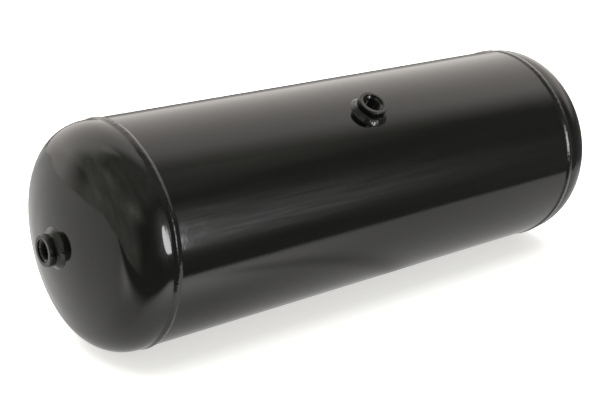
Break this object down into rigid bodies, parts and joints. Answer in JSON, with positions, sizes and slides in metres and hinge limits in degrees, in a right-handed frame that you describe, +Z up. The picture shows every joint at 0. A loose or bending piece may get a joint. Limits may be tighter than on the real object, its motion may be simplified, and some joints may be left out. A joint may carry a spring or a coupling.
{
  "type": "pressure reservoir",
  "caption": "Welded steel cylinder tank with domed ends and threaded ports, painted gloss black, that stores air or fluid under pressure.",
  "frame": {"origin": "on the tank's axis at mid-length", "axes": "+X along the tank's axis towards the rear port, +Z up as the tank lies on a bench on its girth welds and the rim of its drain port, so that the top port leans 34.2 degrees from +Z towards -Y"},
  "size_m": [0.746, 0.249, 0.249],
  "materials": {
    "black_paint": "gloss",
    "weld_paint": "gloss",
    "port_paint": "gloss"
  },
  "bodies": {
    "root": {"shell": "black_paint", "front_head": "black_paint", "rear_head": "black_paint", "front_girth_weld": "weld_paint", "rear_girth_weld": "weld_paint", "shell_seam_weld": "weld_paint", "front_port_boss": "port_paint", "front_port_weld": "weld_paint", "rear_port_boss": "port_paint", "rear_port_weld": "weld_paint", "top_port_boss": "port_paint", "top_port_weld": "weld_paint", "drain_port_boss": "port_paint", "drain_port_weld": "weld_paint"}
  },
  "joints": []
}
